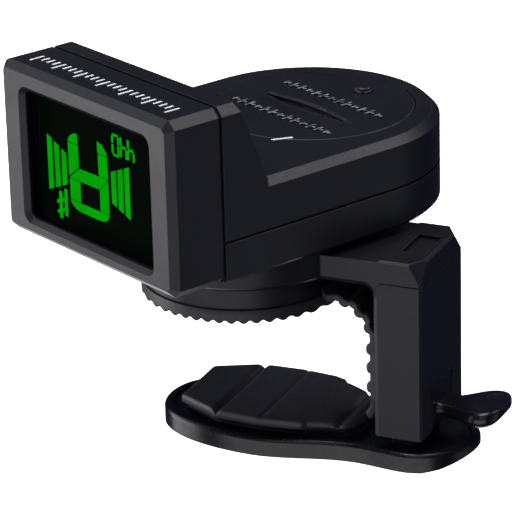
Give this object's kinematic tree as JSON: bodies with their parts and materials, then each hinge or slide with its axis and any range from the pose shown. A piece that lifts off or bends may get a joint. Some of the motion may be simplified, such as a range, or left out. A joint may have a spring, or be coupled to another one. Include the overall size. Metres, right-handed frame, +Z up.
{
  "type": "clip on tuner",
  "caption": "Black clip-on instrument tuner: turning head with a lit green display and a round battery cover, on a ratchet clamp with a rubber-lined jaw and a sliding foot.",
  "frame": {"origin": "where the head's swivel axis meets the plane of the foot plate's underside", "axes": "+X from the swivel axis towards the clamp's column, +Z up along the swivel axis"},
  "size_m": [0.0599, 0.0543, 0.0504],
  "materials": {
    "shell_black": "black moulded ABS, satin with a fine grain",
    "clip_black": "black moulded plastic, fine grain",
    "foot_black": "black moulded plastic, half gloss",
    "cover_black": "black moulded plastic, slightly glossier than the shell",
    "jaw_rubber": "soft black rubber with moulded ridges",
    "seal_rubber": "soft black rubber",
    "lens_clear": "clear polished acrylic",
    "panel_dark": "dark liquid-crystal panel",
    "segment_green": "lit green display strokes",
    "backlight_white": "white light guide",
    "print_white": "white printed ink",
    "board_green": "green solder mask with tinned pads",
    "chip_black": "black moulded epoxy",
    "parts_tan": "small ceramic parts with tinned ends",
    "screw_steel": "zinc-plated steel, satin",
    "cell_metal": "nickel-plated cell can, polished",
    "contact_metal": "plated spring brass",
    "ceramic_white": "silvered white ceramic",
    "washer_nylon": "natural nylon",
    "lead_red": "insulated wire"
  },
  "bodies": {
    "clip": {"clip_frame": "clip_black", "pad_holder": "clip_black", "jaw_liner": "jaw_rubber", "lever_pin": "screw_steel"},
    "head": {"front_bezel": "shell_black", "display_lens": "lens_clear", "upper_shell": "shell_black", "lower_shell": "shell_black", "tick_scale": "print_white", "index_mark": "print_white", "shell_screws": "screw_steel", "swivel_screw": "screw_steel", "swivel_washer": "screw_steel", "friction_ring": "washer_nylon", "display_segments": "segment_green", "display_panel": "panel_dark", "backlight_plate": "backlight_white", "display_board": "board_green", "main_board": "board_green", "battery_tray": "shell_black", "coin_cell": "cell_metal", "negative_contact": "contact_metal", "positive_contact": "contact_metal", "chips": "chip_black", "board_parts": "parts_tan", "side_switch": "chip_black", "pickup_disc": "contact_metal", "pickup_ceramic": "ceramic_white", "pickup_leads": "lead_red"},
    "button": {"power_button": "cover_black", "switch_plunger": "parts_tan"},
    "cover_ring": {"cover_seal": "seal_rubber"},
    "cover": {"battery_cover": "cover_black"},
    "foot": {"foot_plate": "foot_black", "foot_pad": "jaw_rubber", "ratchet_stem": "clip_black", "stem_screws": "screw_steel"},
    "lever": {"release_lever": "foot_black", "lever_spring": "screw_steel"}
  },
  "joints": [
    {"name": "head_swivel", "type": "hinge", "parent": "clip", "child": "head", "pos_m": [0, 0, 0.0285], "axis": [0, 0, 1], "continuous": true},
    {"name": "jaw_slide", "type": "slide", "parent": "clip", "child": "foot", "axis": [0, 0, -1], "range_m": [0, 0.01]},
    {"name": "lever_pivot", "type": "hinge", "parent": "clip", "child": "lever", "pos_m": [0.02485, 0, 0.00975], "axis": [0, -1, 0], "range_deg": [0, 8], "stiffness_Nm_per_rad": 0.05, "springref_deg": -2.86},
    {"name": "button_press", "type": "slide", "parent": "head", "child": "button", "axis": [0.8942, -0.4478, 0], "range_m": [0, 0.0004], "stiffness_N_per_m": 2000},
    {"name": "cover_lift", "type": "slide", "parent": "head", "child": "cover_ring", "axis": [0, 0, 1], "range_m": [0, 0.012]},
    {"name": "cover_turn", "type": "hinge", "parent": "cover_ring", "child": "cover", "pos_m": [0.00515, 0.01028, 0.04], "axis": [0, 0, 1], "range_deg": [-40, 0]}
  ]
}
